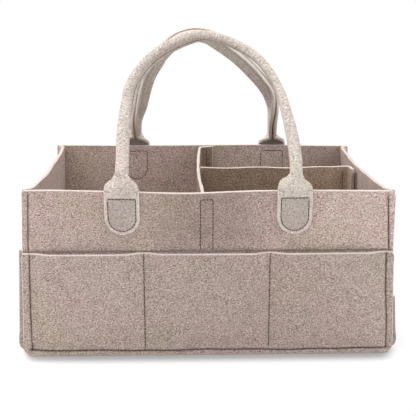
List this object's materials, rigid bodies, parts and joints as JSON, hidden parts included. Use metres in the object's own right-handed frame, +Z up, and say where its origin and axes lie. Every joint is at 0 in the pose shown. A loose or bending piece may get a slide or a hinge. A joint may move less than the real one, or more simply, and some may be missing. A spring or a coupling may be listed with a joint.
{
  "type": "diaper caddy",
  "caption": "Open rectangular felt caddy with outside pockets, folded-strap carrying handles and a lift-out divider insert.",
  "frame": {"origin": "on the floor, at the centre of the caddy's box seen from above", "axes": "+X along the caddy's length to the right, +Y from the front to the back, +Z up"},
  "size_m": [0.404, 0.2648, 0.333],
  "materials": {
    "wall_felt": "heathered beige felt",
    "pocket_felt": "heathered beige felt",
    "handle_felt": "pale heathered felt",
    "divider_felt": "heathered beige felt",
    "seam_thread": "dark brown sewing thread",
    "fastening_strip": "hook-and-loop tape"
  },
  "bodies": {
    "caddy": {"base_panel": "wall_felt", "front_panel": "wall_felt", "right_panel": "wall_felt", "back_panel": "wall_felt", "left_panel": "wall_felt", "front_pocket": "pocket_felt", "right_pocket": "pocket_felt", "back_pocket": "pocket_felt", "left_pocket": "pocket_felt", "front_bottom_thread": "seam_thread", "right_bottom_thread": "seam_thread", "back_bottom_thread": "seam_thread", "left_bottom_thread": "seam_thread", "front_left_tab": "handle_felt", "front_right_tab": "handle_felt", "back_left_tab": "handle_felt", "back_right_tab": "handle_felt", "front_left_tab_thread": "seam_thread", "front_right_tab_thread": "seam_thread", "back_left_tab_thread": "seam_thread", "back_right_tab_thread": "seam_thread", "front_left_pocket_thread": "seam_thread", "front_right_pocket_thread": "seam_thread", "back_left_pocket_thread": "seam_thread", "back_right_pocket_thread": "seam_thread", "front_left_corner_thread": "seam_thread", "front_right_corner_thread": "seam_thread", "back_left_corner_thread": "seam_thread", "back_right_corner_thread": "seam_thread", "front_loop_strip": "fastening_strip", "back_loop_strip": "fastening_strip", "side_loop_strip": "fastening_strip", "front_loop_thread": "seam_thread", "back_loop_thread": "seam_thread"},
    "front_handle": {"front_strap": "handle_felt", "front_strap_outer_thread": "seam_thread", "front_strap_inner_thread": "seam_thread"},
    "back_handle": {"back_strap": "handle_felt", "back_strap_outer_thread": "seam_thread", "back_strap_inner_thread": "seam_thread"},
    "divider": {"centre_divider": "divider_felt", "cross_divider": "divider_felt", "front_hook_strip": "fastening_strip", "back_hook_strip": "fastening_strip", "side_hook_strip": "fastening_strip", "front_divider_thread": "seam_thread", "back_divider_thread": "seam_thread", "cross_divider_thread": "seam_thread"}
  },
  "joints": [
    {"name": "front_handle_fold", "type": "hinge", "parent": "caddy", "child": "front_handle", "pos_m": [0, -0.12645, 0.172], "axis": [1, 0, 0], "range_deg": [0, 150]},
    {"name": "back_handle_fold", "type": "hinge", "parent": "caddy", "child": "back_handle", "pos_m": [0, 0.12645, 0.172], "axis": [-1, 0, 0], "range_deg": [0, 150]},
    {"name": "divider_lift", "type": "slide", "parent": "caddy", "child": "divider", "axis": [0, 0, 1], "range_m": [0, 0.13]}
  ]
}
